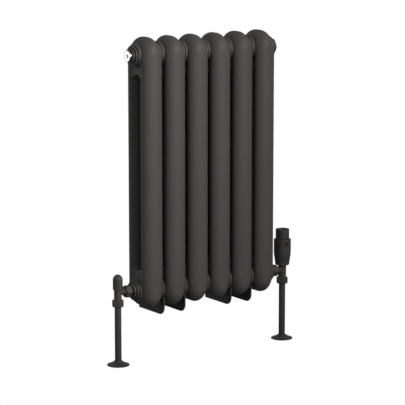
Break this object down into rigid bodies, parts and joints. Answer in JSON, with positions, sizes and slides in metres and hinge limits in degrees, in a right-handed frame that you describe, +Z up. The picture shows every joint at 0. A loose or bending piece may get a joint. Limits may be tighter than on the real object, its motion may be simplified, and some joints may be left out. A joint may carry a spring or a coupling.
{
  "type": "radiator with valve",
  "caption": "Wall-hung anthracite column radiator in cast sections on wall brackets, with an angled lockshield valve, an angled thermostatic valve, pipes and floor plates.",
  "frame": {"origin": "on the wall plane, at floor level, on the centre line of the six sections", "axes": "+X to the right as seen from the room, +Y into the wall, so the front faces -Y, +Z up"},
  "size_m": [0.496, 0.1252, 0.724],
  "materials": {
    "painted_casting": "satin anthracite paint, faintly textured",
    "painted_fittings": "satin anthracite coating on brass",
    "painted_steel": "satin anthracite powder coat",
    "painted_copper": "smooth anthracite coating on copper pipe",
    "painted_plates": "smooth anthracite coating on pressed metal",
    "head_plastic": "matt anthracite plastic",
    "inner_plastic": "matt black plastic",
    "indicator_red": "dark red plastic",
    "bare_steel": "bright zinc-plated steel",
    "bare_brass": "bare machined brass",
    "sensor_metal": "plain metal capsule",
    "vent_chrome": "bright chrome plate",
    "seal_rubber": "black fibre and rubber seal"
  },
  "bodies": {
    "radiator": {"section_1": "painted_casting", "section_2": "painted_casting", "section_3": "painted_casting", "section_4": "painted_casting", "section_5": "painted_casting", "section_6": "painted_casting", "end_bush_low_left": "painted_fittings", "end_bush_low_right": "painted_fittings", "end_bush_high_left": "painted_fittings", "blanking_plug": "painted_fittings", "lockshield_body": "painted_fittings", "thermostatic_body": "painted_fittings", "lockshield_compression_nut": "painted_fittings", "thermostatic_compression_nut": "painted_fittings", "union_nut_left": "painted_fittings", "union_nut_right": "painted_fittings", "tail_left": "painted_fittings", "tail_right": "painted_fittings", "thermostatic_ring_nut": "painted_fittings", "wall_bracket_left": "painted_steel", "wall_bracket_right": "painted_steel", "upper_stay_left": "painted_steel", "upper_stay_right": "painted_steel", "pipe_left": "painted_copper", "pipe_right": "painted_copper", "thermostatic_head_frame": "inner_plastic", "nipple_low_1": "bare_steel", "nipple_low_2": "bare_steel", "nipple_low_3": "bare_steel", "nipple_low_4": "bare_steel", "nipple_low_5": "bare_steel", "nipple_high_1": "bare_steel", "nipple_high_2": "bare_steel", "nipple_high_3": "bare_steel", "nipple_high_4": "bare_steel", "nipple_high_5": "bare_steel", "bracket_screw_left": "bare_steel", "bracket_screw_right": "bare_steel", "vent_plug": "vent_chrome", "joint_seal_low_1": "seal_rubber", "joint_seal_low_2": "seal_rubber", "joint_seal_low_3": "seal_rubber", "joint_seal_low_4": "seal_rubber", "joint_seal_low_5": "seal_rubber", "joint_seal_high_1": "seal_rubber", "joint_seal_high_2": "seal_rubber", "joint_seal_high_3": "seal_rubber", "joint_seal_high_4": "seal_rubber", "joint_seal_high_5": "seal_rubber"},
    "lockshield_cap": {"lockshield_cap": "head_plastic"},
    "lockshield_spindle": {"lockshield_spindle": "bare_brass"},
    "lockshield_disc": {"lockshield_disc": "bare_brass"},
    "thermostatic_handle": {"thermostatic_handle": "head_plastic", "thermostatic_end_cap": "head_plastic", "thermostatic_indicator": "indicator_red"},
    "thermostatic_sensor": {"thermostatic_sensor": "sensor_metal"},
    "thermostatic_pin": {"thermostatic_pin": "bare_brass"},
    "bleed_screw": {"bleed_screw": "bare_brass"},
    "floor_plate_left": {"floor_plate_left": "painted_plates"},
    "floor_plate_right": {"floor_plate_right": "painted_plates"}
  },
  "joints": [
    {"name": "lockshield_cap_lift", "type": "slide", "parent": "radiator", "child": "lockshield_cap", "axis": [0, 0, 1], "range_m": [0, 0.04]},
    {"name": "lockshield_spindle_turn", "type": "hinge", "parent": "radiator", "child": "lockshield_spindle", "pos_m": [-0.223, -0.083, 0.18], "axis": [0, 0, 1], "range_deg": [-540, 540]},
    {"name": "lockshield_disc_travel", "type": "slide", "parent": "radiator", "child": "lockshield_disc", "axis": [0, 0, 1], "range_m": [-0.0015, 0.0015]},
    {"name": "thermostatic_handle_turn", "type": "hinge", "parent": "radiator", "child": "thermostatic_handle", "pos_m": [0.223, -0.083, 0.21], "axis": [0, 0, 1], "range_deg": [-150, 150]},
    {"name": "thermostatic_sensor_travel", "type": "slide", "parent": "radiator", "child": "thermostatic_sensor", "axis": [0, 0, 1], "range_m": [-0.00125, 0.00125]},
    {"name": "thermostatic_pin_travel", "type": "slide", "parent": "radiator", "child": "thermostatic_pin", "axis": [0, 0, 1], "range_m": [-0.00125, 0.00125]},
    {"name": "bleed_screw_turn", "type": "hinge", "parent": "radiator", "child": "bleed_screw", "pos_m": [-0.195, -0.083, 0.684], "axis": [1, 0, 0], "range_deg": [0, 360]},
    {"name": "floor_plate_left_lift", "type": "slide", "parent": "radiator", "child": "floor_plate_left", "axis": [0, 0, 1], "range_m": [0, 0.11]},
    {"name": "floor_plate_right_lift", "type": "slide", "parent": "radiator", "child": "floor_plate_right", "axis": [0, 0, 1], "range_m": [0, 0.11]}
  ],
  "couplings": [
    {"joint": "lockshield_spindle_turn", "follows": "lockshield_disc_travel", "rad_per_m": 6283.2},
    {"joint": "thermostatic_handle_turn", "follows": "thermostatic_sensor_travel", "rad_per_m": 2094.4},
    {"joint": "thermostatic_pin_travel", "follows": "thermostatic_sensor_travel", "ratio": 1}
  ]
}
